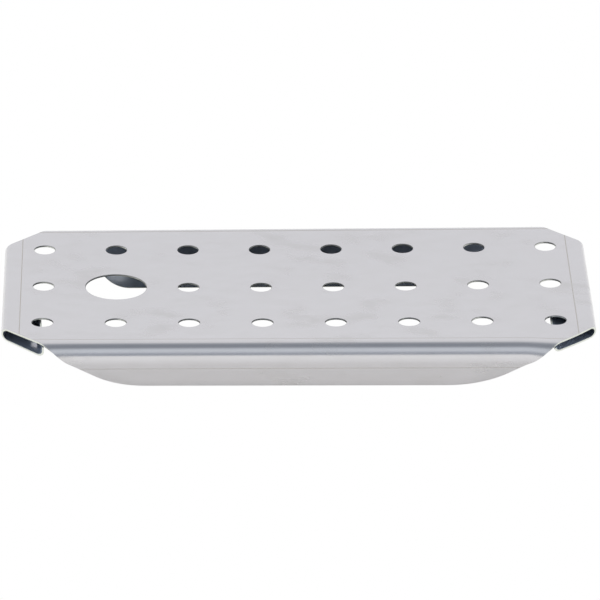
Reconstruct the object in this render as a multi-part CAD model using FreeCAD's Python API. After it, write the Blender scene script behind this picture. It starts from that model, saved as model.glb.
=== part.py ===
"""Perforated false bottom for a third-size steam-table pan.

One blank of sheet steel forms the whole object: a flat drilled deck, a skirt bent down and
tucked inwards along the front and the rear, and both ends folded under into flat channels with
an upturned lip. Each formed wall is one closed solid, and neighbours meet face to face on their
bend lines.

Frame: millimetres, origin at the centre of the footprint on the surface that the skirts stand
on, X along the length, Y from front (-) to rear (+), Z up.
"""
import FreeCAD, Part
import math
import os

# ---- driving dimensions ----------------------------------------------------------------------
LENGTH = 264.1            # outside of the left fold to outside of the right fold
DEPTH = 133.2             # front of the front bend to rear of the rear bend
RISE = 25.6               # top of the deck above the standing surface
SHEET = 0.8               # sheet thickness

CORNER_SUM = 176.8        # |X| + |Y| on the 45 degree corner cuts of the deck

DRAIN_D = 9.5             # drain holes, in a grid of columns and rows
GRID_MIDDLE_X = 0.2       # the grid sits a little right of the centre
GRID_MIDDLE_Y = 0.7       # and a little to the rear of it
DRAIN_PITCH_X = 32.6
DRAIN_PITCH_Y = 40.2
DRAIN_COLUMNS = 8
DRAIN_ROWS = 3
FINGER_D = 27.5           # lifting hole, in place of one drain hole
FINGER_COLUMN = 1         # second column from the left, counted from 0
FINGER_ROW = 1            # middle row

SKIRT_BEND_R = 5.9        # outside radius of the bend from deck to skirt
SKIRT_LEAN = 36.0         # the skirt leans inwards from upright, degrees
# sweep from the standing edge up into the line of the corner cut, at the left and right ends
SKIRT_END_R = {"front": (31.0, 38.0), "rear": (15.0, 38.0)}
END_SLANT = 1.2           # over the bend, the cut runs inwards by this share of the way down
BEND_SECTIONS = 11        # sections along the bend where the corner cut wraps over it

LIP_R = 3.0               # outside radius of the turn from return to lip
LIP_GAP = 1.0             # lip edge below the underside of the deck

# Each end is folded by hand, so the two channels differ. fold_r is the outside radius of the
# fold. opening is how far the return opens (+) or closes (-) from parallel, in degrees, and
# lip_slope is the final slope of the lip. The return narrows to the rear: the widths run from
# the outside of the fold to the lip, at the front face, the two WAIST_Y places and the rear face.
WAIST_Y = (-30.0, 10.0)
END_FOLDS = {
    "left": {"fold_r": 3.0, "opening": 3.0, "lip_slope": 90.0,
             "widths": (19.3, 17.4, 11.0, 6.4)},
    "right": {"fold_r": 2.65, "opening": -3.5, "lip_slope": 62.0,
              "widths": (19.4, 19.6, 11.0, 5.6)},
}

# ---- worked out from the above ---------------------------------------------------------------
HALF_LENGTH = LENGTH / 2
HALF_DEPTH = DEPTH / 2
UNDERSIDE = RISE - SHEET
LEAN = math.radians(SKIRT_LEAN)
BEND_LINE_Y = HALF_DEPTH - SKIRT_BEND_R            # deck meets the skirt bend here
BEND_ANGLE = math.pi / 2 + LEAN
BEND_MID_R = SKIRT_BEND_R - SHEET / 2
DECK_CUT_X = CORNER_SUM - BEND_LINE_Y              # corner cut reaches the bend line here
BEND_END_X = DECK_CUT_X - END_SLANT * BEND_MID_R * BEND_ANGLE  # and the end of the bend here
MARGIN = 5.0                                       # overshoot of cutting tools


def polygon_face(points):
    """Flat face inside the closed polygon through the given vectors."""
    return Part.Face(Part.makePolygon(points + [points[0]]))


def corner_cut_prism():
    """Upright block with the four 45 degree corner cuts, wider than the object elsewhere."""
    far_x = HALF_LENGTH + MARGIN
    far_y = HALF_DEPTH + MARGIN
    near_x = CORNER_SUM - far_y
    near_y = CORNER_SUM - far_x
    outline = [(near_x, -far_y), (far_x, -near_y), (far_x, near_y), (near_x, far_y),
               (-near_x, far_y), (-far_x, near_y), (-far_x, -near_y), (-near_x, -far_y)]
    face = polygon_face([FreeCAD.Vector(x, y, -MARGIN) for x, y in outline])
    return face.extrude(FreeCAD.Vector(0, 0, RISE + 2 * MARGIN))


def hole_centre(column, row):
    """Centre of one grid place, as X and Y."""
    x = GRID_MIDDLE_X + (column - (DRAIN_COLUMNS - 1) / 2) * DRAIN_PITCH_X
    y = GRID_MIDDLE_Y + (row - (DRAIN_ROWS - 1) / 2) * DRAIN_PITCH_Y
    return x, y


def deck_panel():
    """Flat deck between the bend lines and the folds, with its drain and finger holes."""
    left = -(HALF_LENGTH - END_FOLDS["left"]["fold_r"])
    right = HALF_LENGTH - END_FOLDS["right"]["fold_r"]
    plate = Part.makeBox(right - left, 2 * BEND_LINE_Y, SHEET,
                         FreeCAD.Vector(left, -BEND_LINE_Y, UNDERSIDE))
    plate = plate.common(corner_cut_prism())
    drills = []
    for column in range(DRAIN_COLUMNS):
        for row in range(DRAIN_ROWS):
            finger = (column, row) == (FINGER_COLUMN, FINGER_ROW)
            radius = (FINGER_D if finger else DRAIN_D) / 2
            x, y = hole_centre(column, row)
            drills.append(Part.makeCylinder(radius, SHEET + 2 * MARGIN,
                                            FreeCAD.Vector(x, y, UNDERSIDE - MARGIN)))
    return plate.cut(Part.makeCompound(drills))


def around_bend(radius, angle):
    """Y and Z of a point on the front bend, from 0 at the deck to BEND_ANGLE at the flat."""
    return (-BEND_LINE_Y - radius * math.sin(angle),
            RISE - SKIRT_BEND_R + radius * math.cos(angle))


def skirt_bend():
    """Front bend from deck to skirt. The corner cut wraps over it, so it shortens downwards."""
    sections = []
    for step in range(BEND_SECTIONS):
        angle = BEND_ANGLE * step / (BEND_SECTIONS - 1)
        half = DECK_CUT_X - END_SLANT * BEND_MID_R * angle
        corners = []
        for x, radius in ((-half, SKIRT_BEND_R), (half, SKIRT_BEND_R),
                          (half, SKIRT_BEND_R - SHEET), (-half, SKIRT_BEND_R - SHEET)):
            corners.append(FreeCAD.Vector(x, *around_bend(radius, angle)))
        sections.append(Part.makePolygon(corners + [corners[0]]))
    return Part.makeLoft(sections, True, False)


def skirt_flat(end_radii):
    """Flat leaning front wall below the bend. It is trimmed level, to stand on its lower edge."""
    outer_y, outer_z = around_bend(SKIRT_BEND_R, BEND_ANGLE)
    inner_y, inner_z = around_bend(SKIRT_BEND_R - SHEET, BEND_ANGLE)
    slab_section = [FreeCAD.Vector(-BEND_END_X, outer_y, outer_z),
                    FreeCAD.Vector(-BEND_END_X, inner_y, inner_z),
                    FreeCAD.Vector(-BEND_END_X, inner_y + inner_z * math.tan(LEAN), 0),
                    FreeCAD.Vector(-BEND_END_X, outer_y + outer_z * math.tan(LEAN), 0)]
    slab = polygon_face(slab_section).extrude(FreeCAD.Vector(2 * BEND_END_X, 0, 0))

    # the outline on the outside face, by X and the distance down the slope from the bend
    drop = outer_z / math.cos(LEAN)
    half_turn = math.pi / 8
    bottom_x = []

    def at(x, down):
        return FreeCAD.Vector(x, outer_y + down * math.sin(LEAN), outer_z - down * math.cos(LEAN))

    edges = [Part.makeLine(at(BEND_END_X, -MARGIN), at(-BEND_END_X, -MARGIN))]
    for side, radius in zip((-1, 1), end_radii):
        sweep_x = radius * math.sin(2 * half_turn)
        sweep_rise = radius * (1 - math.cos(2 * half_turn))
        flat_half = BEND_END_X - (drop - sweep_rise) - sweep_x
        bottom_x.append(side * flat_half)
        sweep = Part.Arc(at(side * flat_half, drop),
                         at(side * (flat_half + radius * math.sin(half_turn)),
                            drop - radius * (1 - math.cos(half_turn))),
                         at(side * (flat_half + sweep_x), drop - sweep_rise))
        edges.append(sweep.toShape())
        edges.append(Part.makeLine(at(side * (flat_half + sweep_x), drop - sweep_rise),
                                   at(side * BEND_END_X, 0)))
        edges.append(Part.makeLine(at(side * BEND_END_X, 0), at(side * BEND_END_X, -MARGIN)))
    edges.append(Part.makeLine(at(bottom_x[0], drop), at(bottom_x[1], drop)))
    outline = Part.Face(Part.Wire(Part.__sortEdges__(edges)))
    outline.translate(FreeCAD.Vector(0, -MARGIN, 0))
    return slab.common(outline.extrude(FreeCAD.Vector(0, 2 * MARGIN, 0)))


def front_skirt(end_radii):
    """Front wall with its bend."""
    return skirt_bend().fuse(skirt_flat(end_radii)).removeSplitter()


class SheetStrip:
    """Cross-section of sheet in the XZ plane, walked along its outside with every turn left."""

    def __init__(self, x, z, heading):
        self.x, self.z, self.heading = x, z, heading
        self.outer, self.inner = [], []

    def point(self, offset, y):
        """Point on the section, the given distance in from the outside face."""
        turn = math.radians(self.heading + 90)
        return FreeCAD.Vector(self.x + offset * math.cos(turn), y,
                              self.z + offset * math.sin(turn))

    def ahead(self, length, y):
        """Straight stretch."""
        starts = [self.point(offset, y) for offset in (0, SHEET)]
        self.x += length * math.cos(math.radians(self.heading))
        self.z += length * math.sin(math.radians(self.heading))
        ends = [self.point(offset, y) for offset in (0, SHEET)]
        self.outer.append(Part.makeLine(starts[0], ends[0]))
        self.inner.append(Part.makeLine(starts[1], ends[1]))

    def turn_left(self, radius, angle, y):
        """Bend of the given outside radius through the given angle in degrees."""
        centre = self.point(radius, y)
        first = self.heading
        marks = []
        for share in (0, 0.5, 1):
            out = math.radians(first + angle * share - 90)
            marks.append([FreeCAD.Vector(centre.x + r * math.cos(out), y,
                                         centre.z + r * math.sin(out))
                          for r in (radius, radius - SHEET)])
        for side, path in ((0, self.outer), (1, self.inner)):
            path.append(Part.Arc(*[mark[side] for mark in marks]).toShape())
        self.heading = first + angle
        self.x, self.z = marks[2][0].x, marks[2][0].z

    def wire(self, y):
        """The closed section: outside path, lip edge, inside path back, and the bend line."""
        first = Part.makeLine(self.outer[0].firstVertex().Point, self.inner[0].firstVertex().Point)
        last = Part.makeLine(self.point(0, y), self.point(SHEET, y))
        return Part.Wire(Part.__sortEdges__(self.outer + [last] + self.inner + [first]))


def end_section(fold, width, y):
    """Section of a left end at one Y: fold, flat return and lip."""
    strip = SheetStrip(-(HALF_LENGTH - fold["fold_r"]), RISE, 180)
    strip.turn_left(fold["fold_r"], 180 - fold["opening"], y)
    # the flat is as long as the width leaves beside the lip's turn
    slope_in = math.radians(-fold["opening"])
    slope_out = math.radians(fold["lip_slope"])
    turn_reach = LIP_R * (math.sin(slope_out) - math.sin(slope_in))
    flat = (width - HALF_LENGTH - strip.x - turn_reach) / math.cos(slope_in)
    strip.ahead(flat, y)
    strip.turn_left(LIP_R, fold["lip_slope"] + fold["opening"], y)
    rise_left = UNDERSIDE - LIP_GAP - strip.point(SHEET, y).z
    strip.ahead(rise_left / math.sin(slope_out), y)
    return strip.wire(y)


def left_end(fold):
    """A left end: the channel between the corner cuts, lofted straight from front to rear."""
    places = (-HALF_DEPTH, *WAIST_Y, HALF_DEPTH)
    sections = [end_section(fold, width, y) for width, y in zip(fold["widths"], places)]
    channel = Part.makeLoft(sections, True, True)
    return channel.common(corner_cut_prism())


def export(name, shape):
    """Write one node, after checking that it is a single closed solid."""
    assert shape.isValid() and len(shape.Solids) == 1, name
    print("%-18s %8.1f mm3" % (name, shape.Volume))
    shape.Solids[0].exportStep("parts/%s.step" % name)


os.makedirs("parts", exist_ok=True)
ACROSS_LENGTH = FreeCAD.Vector(1, 0, 0)
ACROSS_DEPTH = FreeCAD.Vector(0, 1, 0)
CENTRE = FreeCAD.Vector(0, 0, 0)

export("deck_panel", deck_panel())
export("front_skirt", front_skirt(SKIRT_END_R["front"]))
export("rear_skirt", front_skirt(SKIRT_END_R["rear"]).mirror(CENTRE, ACROSS_DEPTH))
export("left_end_return", left_end(END_FOLDS["left"]))
export("right_end_return", left_end(END_FOLDS["right"]).mirror(CENTRE, ACROSS_LENGTH))
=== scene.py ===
"""Finish and studio for the perforated false bottom of a third-size steam-table pan.

The tray is one blank of stainless sheet. Its five formed walls are modelled as a sheet-metal
worker makes them: each is cut flat, given the sheet's thickness, and then bent to its place.
All lengths are metres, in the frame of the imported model: X along the length, Y to the rear, Z up.
"""

import logging
import math
from dataclasses import dataclass
from enum import Enum
from typing import Callable

import bmesh
import bpy
from mathutils import Matrix, Vector


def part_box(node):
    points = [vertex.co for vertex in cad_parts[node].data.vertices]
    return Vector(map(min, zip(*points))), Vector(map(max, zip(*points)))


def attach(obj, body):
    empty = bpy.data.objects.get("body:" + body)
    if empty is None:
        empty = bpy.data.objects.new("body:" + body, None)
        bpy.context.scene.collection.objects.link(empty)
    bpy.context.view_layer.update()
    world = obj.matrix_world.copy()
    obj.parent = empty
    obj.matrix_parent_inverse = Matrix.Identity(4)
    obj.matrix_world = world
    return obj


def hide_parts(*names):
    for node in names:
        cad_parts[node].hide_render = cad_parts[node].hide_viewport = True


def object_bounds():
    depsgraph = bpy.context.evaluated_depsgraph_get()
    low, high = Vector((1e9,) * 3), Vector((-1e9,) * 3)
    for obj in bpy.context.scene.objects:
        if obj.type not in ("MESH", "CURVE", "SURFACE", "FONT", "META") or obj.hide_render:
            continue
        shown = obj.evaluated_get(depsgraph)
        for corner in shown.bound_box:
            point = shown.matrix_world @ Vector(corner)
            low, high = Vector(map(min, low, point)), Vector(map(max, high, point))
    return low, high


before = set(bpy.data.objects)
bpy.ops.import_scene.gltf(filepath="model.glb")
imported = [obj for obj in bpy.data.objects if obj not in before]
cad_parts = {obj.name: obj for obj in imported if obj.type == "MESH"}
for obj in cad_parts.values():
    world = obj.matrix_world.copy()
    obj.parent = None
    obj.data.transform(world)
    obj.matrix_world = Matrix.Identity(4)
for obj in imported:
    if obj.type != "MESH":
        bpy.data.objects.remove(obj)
CAD_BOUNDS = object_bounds()

LOG = logging.getLogger("tray")
MM = 0.001
NEAR = 0.01 * MM
BODY = "root"

MIX_COLOUR_A = 6
MIX_COLOUR_B = 7
MIX_COLOUR_OUT = 2

Triple = tuple[float, float, float]


class Side(Enum):
    """The two long sides of the tray, by the sign of Y."""

    FRONT = -1
    REAR = 1


class End(Enum):
    """The two short ends of the tray, by the sign of X."""

    LEFT = -1
    RIGHT = 1


class Coat(Enum):
    """Places in a piece's list of materials."""

    FACE = 0
    SHEARED = 1
    INSIDE = 2
    SCORED = 3
    RIM = 4


def smooth_step(low: float, high: float, value: float) -> float:
    """Ease from 0 at low to 1 at high.

    Args:
        low: value at which the result leaves 0.
        high: value at which the result reaches 1.
        value: the value to place between them.

    Returns:
        A share from 0 to 1.
    """
    share = min(max((value - low) / (high - low), 0.0), 1.0)
    return share * share * (3 - 2 * share)


@dataclass(frozen=True)
class Blank:
    """The sheet that the whole tray is formed from, with what its walls have in common.

    The bow is a dish: bow_length and bow_depth say how fast it rises with the square of the
    distance along X and Y, bow_twist and bow_corners how the corners differ from that, and
    bow_drop how low its middle lies. The front right corner droops by droop on top of it.
    """

    thickness: float
    top: float
    left: float
    right: float
    bend_line_y: float
    corner_sum: float
    grid_x: float = 0.2 * MM
    grid_y: float = 0.7 * MM
    seam: float = 0.3 * MM
    bow_length: float = 0.0902
    bow_depth: float = 0.4936
    bow_twist: float = 0.0377
    bow_corners: float = -25.53
    bow_drop: float = 1.767 * MM
    droop: float = 0.8 * MM
    droop_from: tuple[float, float] = (95.0 * MM, 35.0 * MM)
    droop_to: tuple[float, float] = (126.0 * MM, 58.0 * MM)
    edge_round: float = 0.11 * MM

    @classmethod
    def from_frame(cls) -> "Blank":
        """Read the blank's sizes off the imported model.

        Returns:
            The blank of this tray.
        """
        deck_low, deck_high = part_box("deck_panel")
        _, skirt_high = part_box("front_skirt")
        return cls(
            thickness=deck_high.z - deck_low.z,
            top=deck_high.z,
            left=deck_low.x,
            right=deck_high.x,
            bend_line_y=deck_high.y,
            corner_sum=skirt_high.x + deck_high.y,
        )

    def bow(self, x: float, y: float) -> float:
        """How far the hand-formed sheet stands off a flat plane at one place.

        Args:
            x: place along the length.
            y: place along the depth.

        Returns:
            Height above the flat sheet, negative near the middle.
        """
        u, v = x - self.grid_x, y - self.grid_y
        lift = self.bow_length * u * u + self.bow_depth * v * v + self.bow_twist * u * v
        lift += self.bow_corners * u * u * v * v
        droop = self.droop * smooth_step(self.droop_from[0], self.droop_to[0], x)
        droop *= smooth_step(self.droop_from[1], self.droop_to[1], -y)
        return lift - droop - self.bow_drop


class NodeBoard:
    """Short hand for laying out shader nodes."""

    def __init__(self, tree: bpy.types.NodeTree) -> None:
        """Start on an empty tree.

        Args:
            tree: node tree of a material or a world.
        """
        self.tree = tree
        tree.nodes.clear()

    def add(self, kind: str, **settings: object) -> bpy.types.Node:
        """Add one node.

        Args:
            kind: node type without its ShaderNode prefix.
            settings: properties of the node.

        Returns:
            The new node.
        """
        node = self.tree.nodes.new("ShaderNode" + kind)
        for name, value in settings.items():
            setattr(node, name, value)
        return node

    def feed(self, node: bpy.types.Node, **values: object) -> bpy.types.Node:
        """Set or link inputs of a node, by name with underscores for spaces.

        Args:
            node: node to feed.
            values: constants, or output sockets to link.

        Returns:
            The same node.
        """
        for name, value in values.items():
            socket = node.inputs[name.replace("_", " ")]
            if isinstance(value, bpy.types.NodeSocket):
                self.tree.links.new(value, socket)
            else:
                socket.default_value = value
        return node

    def link(self, source: bpy.types.NodeSocket, node: bpy.types.Node, place: int | str) -> None:
        """Link a socket to an input that shares its name with another one.

        Args:
            source: output socket to link.
            node: node to feed.
            place: number or name of its input.
        """
        self.tree.links.new(source, node.inputs[place])

    def finish(self, kind: str, source: bpy.types.Node) -> None:
        """Add the output node and link what the tree makes to it.

        Args:
            kind: type of the output node.
            source: node whose first output is the result.
        """
        self.link(source.outputs[0], self.add(kind), "Surface")

    def math(self, operation: str, *terms: object) -> bpy.types.NodeSocket:
        """Add a math node.

        Args:
            operation: name of the operation.
            terms: constants, or output sockets to link.

        Returns:
            Its result.
        """
        node = self.add("Math", operation=operation)
        for place, term in enumerate(terms):
            if isinstance(term, bpy.types.NodeSocket):
                self.link(term, node, place)
            else:
                node.inputs[place].default_value = term
        return node.outputs[0]

    def noise(self, coords: bpy.types.NodeSocket, stretch: Triple,
              turn: float = 0.0, detail: float = 2.0) -> bpy.types.NodeSocket:
        """Noise with its own scale along each axis.

        Args:
            coords: coordinates to read.
            stretch: features per metre along X, Y and Z.
            turn: turn of the pattern about Z, in degrees.
            detail: octaves of the noise.

        Returns:
            The noise value, about 0.5 on average.
        """
        place = self.add("Mapping", vector_type="POINT")
        turned = self.add("Mapping", vector_type="POINT")
        self.feed(turned, Vector=coords, Rotation=(0.0, 0.0, math.radians(turn)))
        self.feed(place, Vector=turned.outputs[0], Scale=stretch)
        noise = self.feed(self.add("TexNoise"), Vector=place.outputs[0], Scale=1.0, Detail=detail)
        return noise.outputs[0]

    def spread(self, value: bpy.types.NodeSocket, low: float, high: float,
               to_low: float, to_high: float) -> bpy.types.NodeSocket:
        """Map a range to another, held at its ends.

        Args:
            value: value to map.
            low: start of its range.
            high: end of its range.
            to_low: result at the start.
            to_high: result at the end.

        Returns:
            The mapped value.
        """
        node = self.add("MapRange", clamp=True, interpolation_type="SMOOTHSTEP")
        self.feed(node, Value=value, From_Min=low, From_Max=high, To_Min=to_low, To_Max=to_high)
        return node.outputs[0]


@dataclass(frozen=True)
class MillFinish:
    """Cold-rolled stainless face: satin, with rolling grain, fine scratches and handling smudges.

    Scales are features per metre along X, Y and Z. Each scratch set has its turn about Z in
    degrees, and its features per metre along and across the scratches.
    """

    name: str = "mill_finish_stainless"
    colour: Triple = (0.653, 0.647, 0.668)
    smudged: Triple = (0.600, 0.592, 0.598)
    patch_tone: float = 0.22
    smudge_tone: float = 0.7
    roughness: float = 0.24
    roughness_swing: float = 0.05
    haze: float = 0.0
    # Colour of the dull layer: a blue tint, a painted reflection of the dim sky on the inside
    # faces.
    painted_sky_tint: Triple = (0.58, 0.66, 0.78)
    haze_roughness: float = 0.6
    grain_relief: float = 0.004 * MM
    scratch_relief: float = 0.012 * MM
    cloud_scale: Triple = (26.0, 34.0, 34.0)
    patch_scale: Triple = (95.0, 160.0, 160.0)
    smear_scale: Triple = (48.0, 75.0, 75.0)
    grain_scale: Triple = (160.0, 5200.0, 5200.0)
    streak_scale: Triple = (14.0, 900.0, 900.0)
    scratch_area_scale: Triple = (45.0, 60.0, 60.0)
    scratch_sets: tuple[Triple, ...] = ((4.0, 38.0, 1500.0), (-27.0, 60.0, 1900.0),
                                        (68.0, 75.0, 2100.0))
    scratch_width: float = 0.006

    def build(self) -> bpy.types.Material:
        """Lay out the nodes.

        Returns:
            The material.
        """
        material = bpy.data.materials.new(self.name)
        material.use_nodes = True
        board = NodeBoard(material.node_tree)
        coords = board.add("TexCoord").outputs["Object"]

        clouds = board.noise(coords, self.cloud_scale, turn=8.0, detail=3.0)
        patches = board.noise(coords, self.patch_scale, turn=-12.0, detail=4.0)
        smears = board.noise(coords, self.smear_scale, turn=16.0, detail=5.0)
        smudge = board.math("MULTIPLY",
                            board.spread(smears, 0.46, 0.70, 0.0, 1.0),
                            board.spread(clouds, 0.40, 0.62, 0.1, 1.0))
        tone = board.math("MULTIPLY_ADD", board.spread(patches, 0.3, 0.7, 0.0, 1.0),
                          self.patch_tone, board.math("MULTIPLY", smudge, self.smudge_tone))
        paint = board.add("Mix", data_type="RGBA")
        board.link(tone, paint, "Factor")
        paint.inputs[MIX_COLOUR_A].default_value = (*self.colour, 1.0)
        paint.inputs[MIX_COLOUR_B].default_value = (*self.smudged, 1.0)

        grain = board.noise(coords, self.grain_scale)
        streaks = board.noise(coords, self.streak_scale)
        scratch = self.scratches(board, coords, clouds)
        swing = board.math("MULTIPLY_ADD", board.math("SUBTRACT", clouds, 0.5),
                           self.roughness_swing * 2.4, self.roughness)
        swing = board.math("MULTIPLY_ADD", board.math("SUBTRACT", streaks, 0.5),
                           self.roughness_swing, swing)
        rough = board.math("MULTIPLY_ADD", smudge, self.roughness_swing * 1.4, swing)

        relief = board.math("MULTIPLY", grain, self.grain_relief)
        relief = board.math("MULTIPLY_ADD", streaks, self.grain_relief * 0.6, relief)
        relief = board.math("MULTIPLY_ADD", scratch, -self.scratch_relief, relief)
        bump = board.feed(board.add("Bump"), Height=relief, Strength=1.0, Distance=1.0)

        metal = board.feed(board.add("BsdfPrincipled"), Base_Color=paint.outputs[MIX_COLOUR_OUT],
                           Roughness=rough, Normal=bump.outputs[0], Metallic=1.0)
        # With haze above 0 a dull layer is mixed in: its higher roughness is the sheet's own, its
        # blue colour is a painted sky reflection.
        dull = board.feed(board.add("BsdfPrincipled"), Base_Color=(*self.painted_sky_tint, 1.0),
                          Roughness=self.haze_roughness, Normal=bump.outputs[0], Metallic=1.0)
        layers = board.feed(board.add("MixShader"), Fac=self.haze)
        board.link(metal.outputs[0], layers, 1)
        board.link(dull.outputs[0], layers, 2)
        board.finish("OutputMaterial", layers)
        return material

    def scratches(self, board: NodeBoard, coords: bpy.types.NodeSocket,
                  clouds: bpy.types.NodeSocket) -> bpy.types.NodeSocket:
        """Thin handling scratches in a few directions, thicker in some areas than in others.

        Args:
            board: where the nodes go.
            coords: object coordinates.
            clouds: slow noise that says where scratches gather.

        Returns:
            1 in a scratch and 0 elsewhere.
        """
        total: object = 0.0
        for turn, along, across in self.scratch_sets:
            lines = board.noise(coords, (along, across, across), turn=turn, detail=1.0)
            ridge = board.math("ABSOLUTE", board.math("SUBTRACT", lines, 0.5))
            thin = board.spread(ridge, 0.0, self.scratch_width, 1.0, 0.0)
            where = board.noise(coords, self.scratch_area_scale, turn=turn * 3.0, detail=1.0)
            mask = board.spread(where, 0.56, 0.66, 0.0, 1.0)
            total = board.math("MULTIPLY_ADD", thin, mask, total)
        return board.math("MULTIPLY", total, board.spread(clouds, 0.35, 0.6, 0.3, 1.0))


@dataclass(frozen=True)
class ShearedEdge:
    """Cut steel: bright at a sheared edge, with fine torn lines across. The copy for the punched
    rims is dark: painted shade for the ring round each hole.
    """

    name: str = "sheared_edge_stainless"
    colour: Triple = (0.74, 0.76, 0.70)
    roughness: float = 0.42
    roughness_swing: float = 0.08
    relief: float = 0.01 * MM
    tear_scale: Triple = (2600.0, 2600.0, 350.0)

    def build(self) -> bpy.types.Material:
        """Lay out the nodes.

        Returns:
            The material.
        """
        material = bpy.data.materials.new(self.name)
        material.use_nodes = True
        board = NodeBoard(material.node_tree)
        coords = board.add("TexCoord").outputs["Object"]
        tear = board.noise(coords, self.tear_scale)
        rough = board.spread(tear, 0.3, 0.7, self.roughness - self.roughness_swing,
                             self.roughness + self.roughness_swing)
        height = board.math("MULTIPLY", tear, self.relief)
        bump = board.feed(board.add("Bump"), Height=height, Strength=1.0, Distance=1.0)
        metal = board.feed(board.add("BsdfPrincipled"), Base_Color=(*self.colour, 1.0),
                           Roughness=rough, Normal=bump.outputs[0], Metallic=1.0)
        board.finish("OutputMaterial", metal)
        return material


@dataclass
class FormedWall:
    """One wall of the tray, from a flat cut blank to a dressed piece."""

    blank: Blank
    finishes: list[bpy.types.Material]
    name: str = "wall"
    node: str = "wall"
    crease_angle: float = math.radians(15.0)
    free_edge_angle: float = math.radians(60.0)
    round_segments: int = 2

    @property
    def join_floor(self) -> float:
        """Height that the edge where a wall joins the deck lies above."""
        return self.blank.top - 3 * self.blank.thickness

    def thicken(self, sheet: bmesh.types.BMesh) -> None:
        """Give a flat face-only sheet at Z 0 the thickness of the blank, downwards.

        Args:
            sheet: mesh to thicken. Its new faces are marked as inside or as sheared.
        """
        outside = set(sheet.faces)
        grown = bmesh.ops.extrude_face_region(sheet, geom=sheet.faces[:])
        under = {item for item in grown["geom"] if isinstance(item, bmesh.types.BMVert)}
        bmesh.ops.translate(sheet, verts=list(under), vec=(0, 0, -self.blank.thickness))
        for face in sheet.faces:
            if all(vert in under for vert in face.verts):
                face.material_index = Coat.INSIDE.value
            elif face not in outside:
                face.material_index = Coat.SHEARED.value

    def score(self, sheet: bmesh.types.BMesh, on_line: Callable[[Vector], bool]) -> None:
        """Mark the outside faces of a flat thickened sheet that lie on a forming line.

        Args:
            sheet: mesh to mark.
            on_line: tells whether the middle of a face lies on a line.
        """
        for face in sheet.faces:
            if face.material_index == Coat.FACE.value and on_line(face.calc_center_median()):
                face.material_index = Coat.SCORED.value

    def round_free_edges(self, sheet: bmesh.types.BMesh, keep_sharp: Callable[[Vector], bool],
                         radius: float, coat: int = -1) -> None:
        """Round cut edges slightly, apart from those where the next wall joins on.

        Args:
            sheet: formed solid.
            keep_sharp: tells whether a point lies on an edge that stays as it is.
            radius: size of the rounding.
            coat: place of the rounding's own material, or -1 to take a neighbour's.
        """
        bmesh.ops.recalc_face_normals(sheet, faces=sheet.faces[:])
        sheet.normal_update()
        sharp = []
        for edge in sheet.edges:
            if edge.calc_face_angle(0.0) < self.free_edge_angle:
                continue
            if all(keep_sharp(vert.co) for vert in edge.verts):
                continue
            sharp.append(edge)
        bmesh.ops.bevel(sheet, geom=sharp, offset=radius, offset_type="OFFSET",
                        segments=self.round_segments, profile=0.5, affect="EDGES",
                        material=coat, clamp_overlap=True)

    def dress(self, sheet: bmesh.types.BMesh) -> bpy.types.Object:
        """Turn the mesh into a finished piece that stands for its node.

        Args:
            sheet: finished solid, which is freed.

        Returns:
            The piece.
        """
        bmesh.ops.recalc_face_normals(sheet, faces=sheet.faces[:])
        for face in sheet.faces:
            face.smooth = True
        mesh = bpy.data.meshes.new(self.name)
        sheet.to_mesh(mesh)
        sheet.free()
        mesh.set_sharp_from_angle(angle=self.crease_angle)
        for finish in self.finishes:
            mesh.materials.append(finish)
        piece = bpy.data.objects.new(self.name, mesh)
        bpy.context.scene.collection.objects.link(piece)
        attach(piece, BODY)
        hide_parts(self.node)
        return piece


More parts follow.
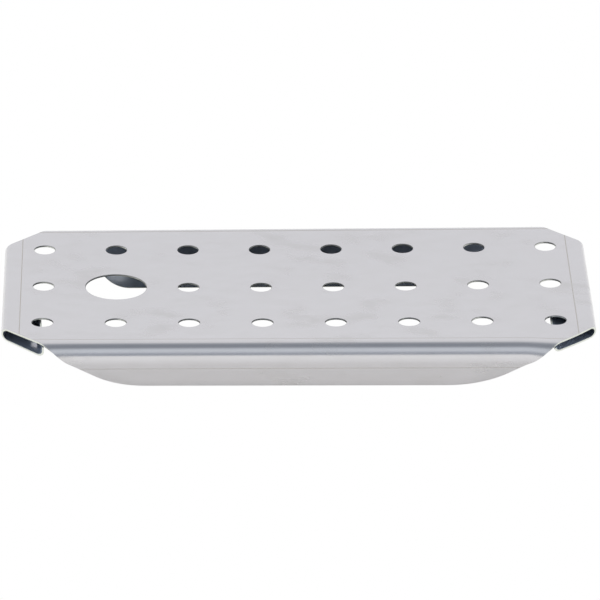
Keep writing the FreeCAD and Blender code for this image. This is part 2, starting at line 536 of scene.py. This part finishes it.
@dataclass
class DeckPanel(FormedWall):
    """The drilled deck, with its two kinds of hole and the lines left by forming."""

    name: str = "drilled_deck"
    node: str = "deck_panel"
    pitch_x: float = 32.6 * MM
    pitch_y: float = 40.2 * MM
    columns: int = 8
    rows: int = 3
    drain_r: float = 4.75 * MM
    finger_r: float = 13.75 * MM
    finger_place: tuple[int, int] = (1, 1)
    rim_round: float = 0.18 * MM
    hole_sides: int = 48
    rings: int = 4
    line_left: float = -124.0 * MM
    line_right: float = 123.8 * MM
    line_front: float = -58.8 * MM
    line_rear: float = 60.0 * MM
    line_half_width: float = 0.22 * MM
    line_depth: float = 0.03 * MM
    corner_margin: float = 1.0 * MM
    cut_tolerance: float = 0.001 * MM

    def cell(self, column: int, row: int) -> bpy.types.Mesh:
        """One flat grid cell with its hole.

        Args:
            column: place along the length, from 0.
            row: place along the depth, from 0.

        Returns:
            A mesh of quads in rings between the hole and the border of the cell.
        """
        x = self.blank.grid_x + (column - (self.columns - 1) / 2) * self.pitch_x
        y = self.blank.grid_y + (row - (self.rows - 1) / 2) * self.pitch_y
        seam_y = self.blank.bend_line_y - self.blank.seam
        low_y = -seam_y if row == 0 else y - self.pitch_y / 2
        high_y = seam_y if row == self.rows - 1 else y + self.pitch_y / 2
        radius = self.finger_r if (column, row) == self.finger_place else self.drain_r

        eighth_turn = Matrix.Rotation(math.radians(45), 4, "Z")
        middle = Matrix.Translation((x, (low_y + high_y) / 2, 0))
        stretch = Matrix.Diagonal((self.pitch_x, high_y - low_y, 1, 1))
        plate = bmesh.new()
        bmesh.ops.create_circle(plate, segments=4, radius=math.sqrt(0.5),
                                matrix=middle @ stretch @ eighth_turn)
        bmesh.ops.subdivide_edges(plate, edges=plate.edges[:], cuts=self.hole_sides // 4 - 1)
        bmesh.ops.create_circle(plate, segments=self.hole_sides, radius=radius,
                                matrix=Matrix.Translation((x, y, 0)) @ eighth_turn)
        loops = set(plate.edges)
        bmesh.ops.bridge_loops(plate, edges=plate.edges[:])
        spokes = [edge for edge in plate.edges if edge not in loops]
        bmesh.ops.subdivide_edges(plate, edges=spokes, cuts=self.rings - 1)
        mesh = bpy.data.meshes.new("cell")
        plate.to_mesh(mesh)
        plate.free()
        return mesh

    def flat_pattern(self) -> bmesh.types.BMesh:
        """The deck as a flat drilled sheet with its corners cut and its forming lines laid in.

        Returns:
            A flat mesh at Z 0.
        """
        sheet = bmesh.new()
        for column in range(self.columns):
            for row in range(self.rows):
                mesh = self.cell(column, row)
                sheet.from_mesh(mesh)
                bpy.data.meshes.remove(mesh)
        bmesh.ops.remove_doubles(sheet, verts=sheet.verts[:], dist=NEAR)

        seam = self.blank.seam
        self.cut(sheet, (self.blank.left + seam, 0), (-1, 0), clear=True)
        self.cut(sheet, (self.blank.right - seam, 0), (1, 0), clear=True)
        for end in End:
            for side in Side:
                self.cut(sheet, (end.value * self.blank.corner_sum, 0),
                         (end.value, side.value), clear=True)
        for step in (-1, 0, 1):
            offset = step * self.line_half_width
            for x in (self.line_left, self.line_right):
                self.cut(sheet, (x + offset, 0), (1, 0))
            for y in (self.line_front, self.line_rear):
                self.cut(sheet, (0, y + offset), (0, 1))
        return sheet

    def cut(self, sheet: bmesh.types.BMesh, place: tuple[float, float],
            towards: tuple[float, float], clear: bool = False) -> None:
        """Cut the flat sheet along an upright plane.

        Args:
            sheet: mesh to cut.
            place: X and Y of a point on the cut.
            towards: X and Y of the cut's direction of normal.
            clear: drop what lies on the side that towards points to.
        """
        everything = sheet.verts[:] + sheet.edges[:] + sheet.faces[:]
        bmesh.ops.bisect_plane(sheet, geom=everything, dist=self.cut_tolerance,
                               plane_co=(*place, 0), plane_no=(*towards, 0),
                               clear_outer=clear)

    def on_line(self, point: Vector, reach: float) -> bool:
        """Whether a point of the flat pattern lies on one of the forming lines.

        Args:
            point: the point.
            reach: how far from the middle of a line still counts.

        Returns:
            True on a line.
        """
        within_x = self.line_left <= point.x <= self.line_right
        within_y = self.line_front <= point.y <= self.line_rear
        off_end = min(abs(point.x - self.line_left), abs(point.x - self.line_right))
        off_side = min(abs(point.y - self.line_front), abs(point.y - self.line_rear))
        return (off_end < reach and within_y) or (off_side < reach and within_x)

    def on_seam(self, point: Vector) -> bool:
        """Whether a point lies on an edge of the deck that the next wall joins on to.

        Args:
            point: the point, on an edge of the formed deck.

        Returns:
            True on a seam.
        """
        on_side = abs(point.y) > self.blank.bend_line_y - self.blank.seam - NEAR
        on_left = point.x < self.blank.left + self.blank.seam + NEAR
        return on_side or on_left or point.x > self.blank.right - self.blank.seam - NEAR

    def build(self) -> bpy.types.Object:
        """Make the deck.

        Returns:
            The piece.
        """
        sheet = self.flat_pattern()
        self.thicken(sheet)
        self.score(sheet, lambda point: self.on_line(point, self.line_half_width))
        for vert in sheet.verts:
            x, y, z = vert.co
            if z > -self.blank.thickness / 2 and self.on_line(vert.co, self.line_half_width / 2):
                z -= self.line_depth
            vert.co.z = self.blank.top + z + self.blank.bow(x, y)
        corner = self.blank.corner_sum - self.corner_margin
        self.round_free_edges(sheet, lambda point: (
            self.on_seam(point) or abs(point.x) + abs(point.y) < corner),
            self.blank.edge_round)
        # The hole rims take the rim coat, whose dark colour is painted shade for the ring round
        # each hole.
        self.round_free_edges(sheet, lambda point: (
            self.on_seam(point) or abs(point.x) + abs(point.y) > corner),
            self.rim_round, Coat.RIM.value)
        return self.dress(sheet)


@dataclass
class Skirt(FormedWall):
    """A long wall: the sheet bent down and tucked inwards, with swept ends."""

    side: Side = Side.FRONT
    lean: float = math.radians(36.0)
    end_slant: float = 1.2
    sweep_left: float = 31.0 * MM
    sweep_right: float = 38.0 * MM
    sweep_turn: float = math.radians(45.0)
    flare_left: float = 0.3 * MM
    flare_right: float = 0.9 * MM
    flare_from: float = 99.0 * MM
    flare_to: float = 114.0 * MM
    edge_slope: float = 0.0
    edge_level_from: float = 67.0 * MM
    line_drop: float = 4.1 * MM
    line_half_width: float = 0.2 * MM
    line_depth: float = 0.05 * MM
    columns: int = 96
    bend_rows: int = 26
    flat_rows: int = 6
    sweep_rows: int = 14

    def __post_init__(self) -> None:
        """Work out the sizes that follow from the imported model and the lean."""
        self.name = self.side.name.lower() + "_skirt_wall"
        self.node = self.side.name.lower() + "_skirt"
        low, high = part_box(self.node)
        self.bend_r = max(abs(low.y), abs(high.y)) - self.blank.bend_line_y
        self.turn = math.pi / 2 + self.lean
        self.bend_length = (self.bend_r - self.blank.thickness / 2) * self.turn
        self.bend_end_z = self.blank.top - self.bend_r * (1 - math.cos(self.turn))
        self.flat_length = self.bend_end_z / math.sin(self.turn)
        self.cut_x = self.blank.corner_sum - self.blank.bend_line_y

    def row_places(self) -> list[float]:
        """Rows of the flat pattern, by distance down the sheet from the bend line.

        Returns:
            The distances, from the seam on the deck to the standing edge.
        """
        rows = [-self.blank.seam]
        rows += [self.bend_length * i / self.bend_rows for i in range(self.bend_rows + 1)]
        widest = max(self.sweep_left, self.sweep_right)
        run = self.flat_length - widest * (1 - math.cos(self.sweep_turn))
        rows += [self.bend_length + run * (i + 1) / self.flat_rows for i in range(self.flat_rows)]
        for i in range(self.sweep_rows):
            angle = self.sweep_turn * (1 - (i + 1) / self.sweep_rows)
            above = widest * (1 - math.cos(angle))
            rows.append(self.bend_length + self.flat_length - above)
        line = self.bend_length + self.line_drop
        rows += [line - self.line_half_width, line, line + self.line_half_width]
        return sorted(rows)

    def on_cut(self, down: float) -> float:
        """Distance along X of the corner cut at one row of the flat pattern.

        Args:
            down: distance down the sheet from the bend line.

        Returns:
            The distance from the middle. Over the bend the cut runs inwards faster.
        """
        over_bend = min(max(down, 0.0), self.bend_length)
        return self.cut_x - down - (self.end_slant - 1) * over_bend

    def reach(self, end: End, down: float) -> float:
        """Where one end of the wall lies at one row of the flat pattern.

        Args:
            end: which end.
            down: distance down the sheet from the bend line.

        Returns:
            Its X: on the line of the corner cut, then on the sweep to the standing edge.
        """
        radius = self.sweep_left if end is End.LEFT else self.sweep_right
        rise = radius * (1 - math.cos(self.sweep_turn))
        above = max(self.bend_length + self.flat_length - down, 0.0)
        if above >= rise:
            return end.value * self.on_cut(down)
        sweep_start = self.bend_length + self.flat_length - rise
        flat_half = self.on_cut(sweep_start) - radius * math.sin(self.sweep_turn)
        return end.value * (flat_half + math.sqrt(above * (2 * radius - above)))

    def place(self, x: float, down: float, depth: float) -> Vector:
        """Bend one point of the flat pattern to its place.

        Towards its ends the bend opens to a larger radius and turns a little further, which
        leaves the standing edge straight.

        Args:
            x: place along the length.
            down: distance down the sheet from the bend line.
            depth: distance in from the outside face.

        Returns:
            The point on the formed wall.
        """
        most = self.flare_left if x < 0 else self.flare_right
        flare = most * smooth_step(self.flare_from, self.flare_to, abs(x))
        gain = (1 - math.cos(self.turn)) * math.sin(self.turn) / self.bend_end_z
        turn = self.turn + gain * flare
        outer_r = self.bend_r + flare
        edge_z = max(self.edge_slope * (self.edge_level_from - x), 0.0)
        flat = (self.blank.top - outer_r * (1 - math.cos(turn)) - edge_z) / math.sin(turn)

        angle = turn * min(max(down / self.bend_length, 0.0), 1.0)
        beyond = max(down - self.bend_length, 0.0) * flat / self.flat_length
        radius = outer_r - depth
        y = self.blank.bend_line_y + min(down, 0.0)
        y += radius * math.sin(angle) + beyond * math.cos(angle)
        z = self.blank.top - outer_r + radius * math.cos(angle) - beyond * math.sin(angle)
        side_y = self.side.value * self.blank.bend_line_y
        share = min(max(z / self.bend_end_z, 0.0), 1.0)
        return Vector((x, self.side.value * y, z + share * self.blank.bow(x, side_y)))

    def build(self) -> bpy.types.Object:
        """Make the skirt.

        Returns:
            The piece.
        """
        rows = self.row_places()
        last = len(rows) - 1
        line = self.bend_length + self.line_drop
        sheet = bmesh.new()
        bmesh.ops.create_grid(sheet, x_segments=self.columns, y_segments=last, size=1.0)
        for vert in sheet.verts:
            down = rows[round((vert.co.y + 1) / 2 * last)]
            left, right = self.reach(End.LEFT, down), self.reach(End.RIGHT, down)
            vert.co = Vector((left + (right - left) * (vert.co.x + 1) / 2, down, 0))
        self.thicken(sheet)
        self.score(sheet, lambda point: abs(point.y - line) < self.line_half_width)
        for vert in sheet.verts:
            x, down, z = vert.co
            if z > -self.blank.thickness / 2 and abs(down - line) < self.line_half_width / 2:
                z -= self.line_depth
            vert.co = self.place(x, down, -z)
        seam_y = self.blank.bend_line_y - self.blank.seam
        self.round_free_edges(sheet, lambda point: (
            abs(point.y) < seam_y + NEAR and point.z > self.join_floor), self.blank.edge_round)
        return self.dress(sheet)


@dataclass
class EndReturn(FormedWall):
    """An end folded under into a flat channel, with its lip turned up.

    The opening and the slope of the lip are in degrees. The widths are those at the front, at
    the two waists and at the rear, and the width runs straight between them.
    """

    end: End = End.LEFT
    opening: float = 3.0
    lip_slope: float = 90.0
    widths: tuple[float, float, float, float] = (19.3 * MM, 17.4 * MM, 11.0 * MM, 6.4 * MM)
    waists: tuple[float, float] = (-30.0 * MM, 10.0 * MM)
    lip_r: float = 3.0 * MM
    lip_gap: float = 1.0 * MM
    stations_y: int = 60
    fold_steps: int = 18
    flat_steps: int = 5
    turn_steps: int = 12
    lip_steps: int = 2
    settling_rounds: int = 6

    def __post_init__(self) -> None:
        """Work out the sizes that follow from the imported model."""
        self.name = self.end.name.lower() + "_end_channel"
        self.node = self.end.name.lower() + "_end_return"
        low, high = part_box(self.node)
        self.outside = max(abs(low.x), abs(high.x))
        tangent = self.blank.left if self.end is End.LEFT else self.blank.right
        self.fold_r = self.outside - abs(tangent)
        self.half_depth = max(abs(corner.y) for corner in CAD_BOUNDS)

    def steps(self) -> list[tuple[str, float]]:
        """Stations around the section, from the seam on the deck to the tip of the lip.

        Returns:
            Each station's stretch and its share along that stretch.
        """
        stations = [("strip", 0.0)]
        for stretch, count in (("fold", self.fold_steps), ("flat", self.flat_steps),
                               ("turn", self.turn_steps), ("lip", self.lip_steps)):
            first = 0 if stretch == "fold" else 1
            stations += [(stretch, i / count) for i in range(first, count + 1)]
        return stations

    def width(self, y: float) -> float:
        """Width of the return at one place.

        Args:
            y: place along the channel.

        Returns:
            The width, from the outside of the fold to the lip.
        """
        places = (-self.half_depth, *self.waists, self.half_depth)
        stretch = sum(y > place for place in self.waists)
        low, high = places[stretch:stretch + 2]
        near, far = self.widths[stretch:stretch + 2]
        return near + (far - near) * (y - low) / (high - low)

    def section(self, station: tuple[str, float], y: float, depth: float) -> tuple[float, float]:
        """A point of the channel's section.

        Args:
            station: stretch of the section and share along it.
            y: place along the channel.
            depth: distance in from the outside face.

        Returns:
            Distance inwards from the outside of the fold, and height.
        """
        stretch, share = station
        centre_z = self.blank.top - self.fold_r
        if stretch == "strip":
            return self.fold_r + self.blank.seam * (1 - share), self.blank.top - depth
        fold_turn = math.radians(180 - self.opening)
        angle = fold_turn * (share if stretch == "fold" else 1)
        radius = self.fold_r - depth
        inward = self.fold_r - radius * math.sin(angle)
        z = centre_z + radius * math.cos(angle)
        if stretch == "fold":
            return inward, z

        slope_in = math.radians(-self.opening)
        slope_out = math.radians(self.lip_slope)
        fold_end = self.fold_r - self.fold_r * math.sin(fold_turn)
        turn_reach = self.lip_r * (math.sin(slope_out) - math.sin(slope_in))
        run = (self.width(y) - fold_end - turn_reach) / math.cos(slope_in)
        run *= share if stretch == "flat" else 1
        inward += run * math.cos(slope_in)
        z += run * math.sin(slope_in)
        if stretch == "flat":
            return inward, z

        slope = slope_in + (slope_out - slope_in) * (share if stretch == "turn" else 1)
        lip_radius = self.lip_r - depth
        inward += lip_radius * (math.sin(slope) - math.sin(slope_in))
        z += lip_radius * (math.cos(slope_in) - math.cos(slope))
        if stretch == "turn":
            return inward, z

        fold_z = centre_z + self.fold_r * math.cos(fold_turn)
        inner_z = fold_z + run * math.sin(slope_in) + self.lip_r * math.cos(slope_in)
        inner_z -= (self.lip_r - self.blank.thickness) * math.cos(slope_out)
        tip_z = self.blank.top - self.blank.thickness - self.lip_gap
        rise = max(tip_z - inner_z, 0.0) / math.sin(slope_out) * share
        return inward + rise * math.cos(slope_out), z + rise * math.sin(slope_out)

    def place(self, station: tuple[str, float], share: float, depth: float) -> Vector:
        """Put one point of the flat pattern in its place on the folded end.

        The width depends on Y and the corner cut's Y on the width, so they settle in rounds.

        Args:
            station: stretch of the section and share along it.
            share: from -1 on the front corner cut to 1 on the rear one.
            depth: distance in from the outside face.

        Returns:
            The point on the formed channel.
        """
        y = 0.0
        for _ in range(self.settling_rounds):
            inward, z = self.section(station, y, depth)
            x = self.outside - inward
            y = share * (self.blank.corner_sum - x)
        tangent = self.end.value * (self.outside - self.fold_r)
        return Vector((self.end.value * x, y, z + self.blank.bow(tangent, y)))

    def build(self) -> bpy.types.Object:
        """Make the channel.

        Returns:
            The piece.
        """
        stations = self.steps()
        last = len(stations) - 1
        sheet = bmesh.new()
        bmesh.ops.create_grid(sheet, x_segments=last, y_segments=self.stations_y, size=1.0)
        self.thicken(sheet)
        for vert in sheet.verts:
            station = stations[round((vert.co.x + 1) / 2 * last)]
            vert.co = self.place(station, vert.co.y, -vert.co.z)
        seam_x = self.outside - self.fold_r - self.blank.seam
        self.round_free_edges(sheet, lambda point: (
            abs(abs(point.x) - seam_x) < NEAR and point.z > self.join_floor),
            self.blank.edge_round)
        return self.dress(sheet)


@dataclass(frozen=True)
class Studio:
    """White floor, soft surround and the camera.

    The sky is a list of degrees over the tray from the rear horizon, each with its colour.
    """

    blank: Blank
    aim_drop: float = 1.5 * MM
    floor_size: float = 9.0
    floor_albedo: float = 0.9
    # Albedo of the paper under the tray: a painted shadow.
    painted_shadow_albedo: float = 0.12
    floor_tint: Triple = (1.0, 0.985, 0.955)
    floor_glow: float = 0.38
    glow_colour: Triple = (1.0, 0.965, 0.915)
    shade_from_y: float = 42.0 * MM
    shade_to_y: float = 57.0 * MM
    shade_end_width: float = 12 * MM
    sky: tuple[tuple[float, Triple], ...] = (
        (0, (0.93, 0.93, 0.945)), (53, (0.93, 0.93, 0.945)), (71, (0.42, 0.445, 0.48)),
        (85, (0.31, 0.335, 0.375)), (108, (0.31, 0.335, 0.375)),
        (126, (0.77, 0.81, 0.86)), (148, (0.77, 0.81, 0.86)),
        (162, (0.44, 0.47, 0.52)), (180, (0.38, 0.41, 0.46)))
    lamp_radiance: float = 2.0
    lamp_size: float = 1.5
    lamp_distance: float = 2.6
    lamp_height: float = 2.2
    camera_azimuth: float = math.radians(-1.419)
    camera_elevation: float = math.radians(24.282)
    camera_roll: float = math.radians(0.233)
    camera_distance: float = 2.8508
    camera_right: float = 1.283 * MM
    camera_up: float = -6.068 * MM
    lens: float = 379.93
    sensor: float = 36.0

    def build(self) -> None:
        """Make the floor, the surround, the lamps and the camera."""
        bpy.context.scene.view_settings.view_transform = "Standard"
        self.floor()
        self.surround()
        for side in End:
            self.lamp(side)
        self.camera()

    def floor(self) -> None:
        """Floor that looks plain white, and sends less light up from right under the tray: a
        painted shadow, with darker paper and no glow there.
        """
        ground = bmesh.new()
        bmesh.ops.create_grid(ground, x_segments=8, y_segments=8, size=self.floor_size / 2)
        mesh = bpy.data.meshes.new("floor")
        ground.to_mesh(mesh)
        ground.free()
        material = bpy.data.materials.new("white_sweep")
        material.use_nodes = True
        board = NodeBoard(material.node_tree)
        spot = board.feed(board.add("SeparateXYZ"),
                          Vector=board.add("TexCoord").outputs["Object"])
        off_x = board.math("ABSOLUTE", spot.outputs["X"])
        off_y = board.math("ABSOLUTE", spot.outputs["Y"])
        # Painted shadow: the paper darkens and the glow fades out under the tray's footprint.
        beyond_end = board.spread(off_x, self.blank.right - self.shade_end_width,
                                  self.blank.right, 0.0, 1.0)
        beyond_side = board.spread(off_y, self.shade_from_y, self.shade_to_y, 0.0, 1.0)
        lit = board.math("MAXIMUM", beyond_end, beyond_side)
        shade = board.spread(lit, 0.0, 1.0, self.painted_shadow_albedo, self.floor_albedo)
        red, green, blue = self.floor_tint
        tint = board.feed(board.add("CombineColor"), Red=board.math("MULTIPLY", shade, red),
                          Green=board.math("MULTIPLY", shade, green),
                          Blue=board.math("MULTIPLY", shade, blue))
        paper = board.feed(board.add("BsdfDiffuse"), Color=tint.outputs[0])
        glow = board.feed(board.add("Emission"), Color=(*self.glow_colour, 1),
                          Strength=board.math("MULTIPLY", lit, self.floor_glow))
        lightened = board.add("AddShader")
        board.link(paper.outputs[0], lightened, 0)
        board.link(glow.outputs[0], lightened, 1)
        white = board.feed(board.add("Emission"), Color=(1, 1, 1, 1), Strength=1.0)
        seen = board.add("LightPath").outputs["Is Camera Ray"]
        choice = board.add("MixShader")
        board.link(seen, choice, 0)
        board.link(lightened.outputs[0], choice, 1)
        board.link(white.outputs[0], choice, 2)
        board.finish("OutputMaterial", choice)
        mesh.materials.append(material)
        floor = bpy.data.objects.new("floor", mesh)
        bpy.context.scene.collection.objects.link(floor)

    def surround(self) -> None:
        """Soft light all round, by the angle over the tray from the rear horizon."""
        world = bpy.data.worlds.new("soft_surround")
        world.use_nodes = True
        bpy.context.scene.world = world
        board = NodeBoard(world.node_tree)
        direction = board.add("TexCoord").outputs["Generated"]
        parts = board.feed(board.add("SeparateXYZ"), Vector=direction)
        height = parts.outputs["Z"]
        angle = board.math("ARCTAN2", height, parts.outputs["Y"])
        share = board.math("DIVIDE", angle, math.pi)
        ramp = board.feed(board.add("ValToRGB"), Fac=share)
        band = ramp.color_ramp
        band.elements[0].position = 0.0
        band.elements[1].position = 1.0
        while len(band.elements) < len(self.sky):
            band.elements.new(0.5)
        for element, (degrees, colour) in zip(band.elements, self.sky):
            element.position = degrees / 180
            element.color = (*colour, 1)
        light = board.feed(board.add("Background"), Color=ramp.outputs[0], Strength=1.0)
        board.finish("OutputWorld", light)

    def lamp(self, side: End) -> None:
        """Large soft lamp beside the tray, which lights the floor.

        Args:
            side: which end of the tray it stands beyond.
        """
        data = bpy.data.lights.new(side.name.lower() + "_softbox", "AREA")
        data.shape = "SQUARE"
        data.size = self.lamp_size
        data.energy = self.lamp_radiance * math.pi * self.lamp_size ** 2
        lamp = bpy.data.objects.new(data.name, data)
        lamp.location = (side.value * self.lamp_distance, 0, self.lamp_height)
        lamp.rotation_euler = (-lamp.location).to_track_quat("-Z", "Y").to_euler()
        bpy.context.scene.collection.objects.link(lamp)

    def camera(self) -> None:
        """Camera almost square to the front and a little above, far off with a long lens."""
        azimuth, elevation = self.camera_azimuth, self.camera_elevation
        back = Vector((math.sin(azimuth) * math.cos(elevation),
                       -math.cos(azimuth) * math.cos(elevation), math.sin(elevation)))
        right = Vector((0, 0, 1)).cross(back).normalized()
        up = back.cross(right)
        aim = Vector((self.blank.grid_x, self.blank.grid_y, self.blank.top - self.aim_drop))
        place = aim + back * self.camera_distance
        place += right * self.camera_right + up * self.camera_up
        axes = Matrix((right, up, back)).transposed().to_4x4()
        data = bpy.data.cameras.new("camera")
        data.lens = self.lens
        data.sensor_width = self.sensor
        camera = bpy.data.objects.new("camera", data)
        camera.matrix_world = (Matrix.Translation(place) @ axes
                               @ Matrix.Rotation(self.camera_roll, 4, "Z"))
        bpy.context.scene.collection.objects.link(camera)
        bpy.context.scene.camera = camera


def main() -> None:
    """Build the tray and its studio, and report each piece."""
    logging.basicConfig(level=logging.INFO, format="%(name)s: %(message)s")
    blank = Blank.from_frame()
    coats = {
        Coat.FACE: MillFinish(),
        Coat.SHEARED: ShearedEdge(),
        # Inside faces: lower roughness, and a dull layer tinted blue as a painted reflection of the
        # dim sky.
        Coat.INSIDE: MillFinish(name="inside_stainless", roughness=0.15, haze=0.45),
        Coat.SCORED: MillFinish(name="scored_line_stainless", colour=(0.46, 0.44, 0.41),
                                smudged=(0.62, 0.61, 0.60), roughness=0.3),
        # Punched rims: cut steel coloured dark, a painted shade round each hole.
        Coat.RIM: ShearedEdge(name="punched_rim_painted_shade", colour=(0.22, 0.22, 0.23)),
    }
    finishes = [coats[coat].build() for coat in Coat]
    Studio(blank=blank).build()
    walls = [
        DeckPanel(blank, finishes),
        Skirt(blank, finishes, side=Side.FRONT, edge_slope=0.0075),
        Skirt(blank, finishes, side=Side.REAR, sweep_left=15.0 * MM, flare_right=0.6 * MM),
        EndReturn(blank, finishes, end=End.LEFT),
        EndReturn(blank, finishes, end=End.RIGHT, opening=-3.5, lip_slope=62.0,
                  widths=(19.4 * MM, 19.6 * MM, 11.0 * MM, 5.6 * MM)),
    ]
    for wall in walls:
        piece = wall.build()
        LOG.info("%s: %d faces, stands for %s", piece.name, len(piece.data.polygons), wall.node)


if __name__ == "__main__":
    main()
